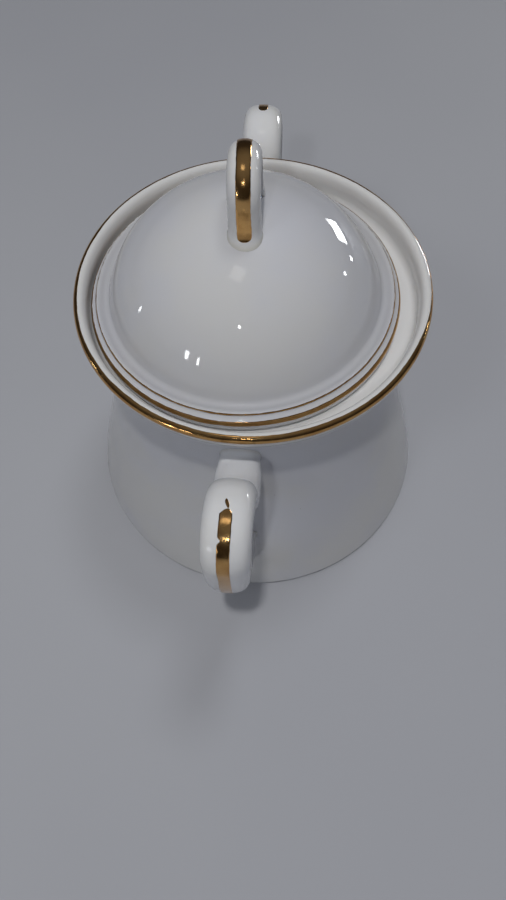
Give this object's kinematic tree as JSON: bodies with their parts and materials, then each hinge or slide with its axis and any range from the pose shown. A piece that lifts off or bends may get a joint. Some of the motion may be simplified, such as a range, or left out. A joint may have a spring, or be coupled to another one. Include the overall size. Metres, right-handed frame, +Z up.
{
  "type": "sugar bowl",
  "caption": "Lidded porcelain sugar bowl with a bell-shaped body, ear-shaped strap handles, a sunk domed lid with a loop knob, and gilded bands.",
  "frame": {"origin": "centre of the foot, on the surface that the bowl stands on", "axes": "+Z up through the bowl's axis; X through both handles"},
  "size_m": [0.1626, 0.1176, 0.1368],
  "materials": {
    "porcelain": "glossy transparent glaze over white porcelain; the foot ring's underside is unglazed",
    "gilding": "burnished gold bands, slightly worn"
  },
  "bodies": {
    "bowl": {"bowl_body": "porcelain", "lip_gilding": "gilding", "handle_right": "porcelain", "handle_left": "porcelain", "handle_right_gilding": "gilding", "handle_left_gilding": "gilding"},
    "lid": {"lid_shell": "porcelain", "lid_edge_gilding": "gilding", "lid_thread_gilding": "gilding", "lid_knob": "porcelain", "knob_gilding": "gilding"}
  },
  "joints": [
    {"name": "lid_lift", "type": "slide", "parent": "bowl", "child": "lid", "axis": [0, 0, 1], "range_m": [0, 0.12]}
  ]
}
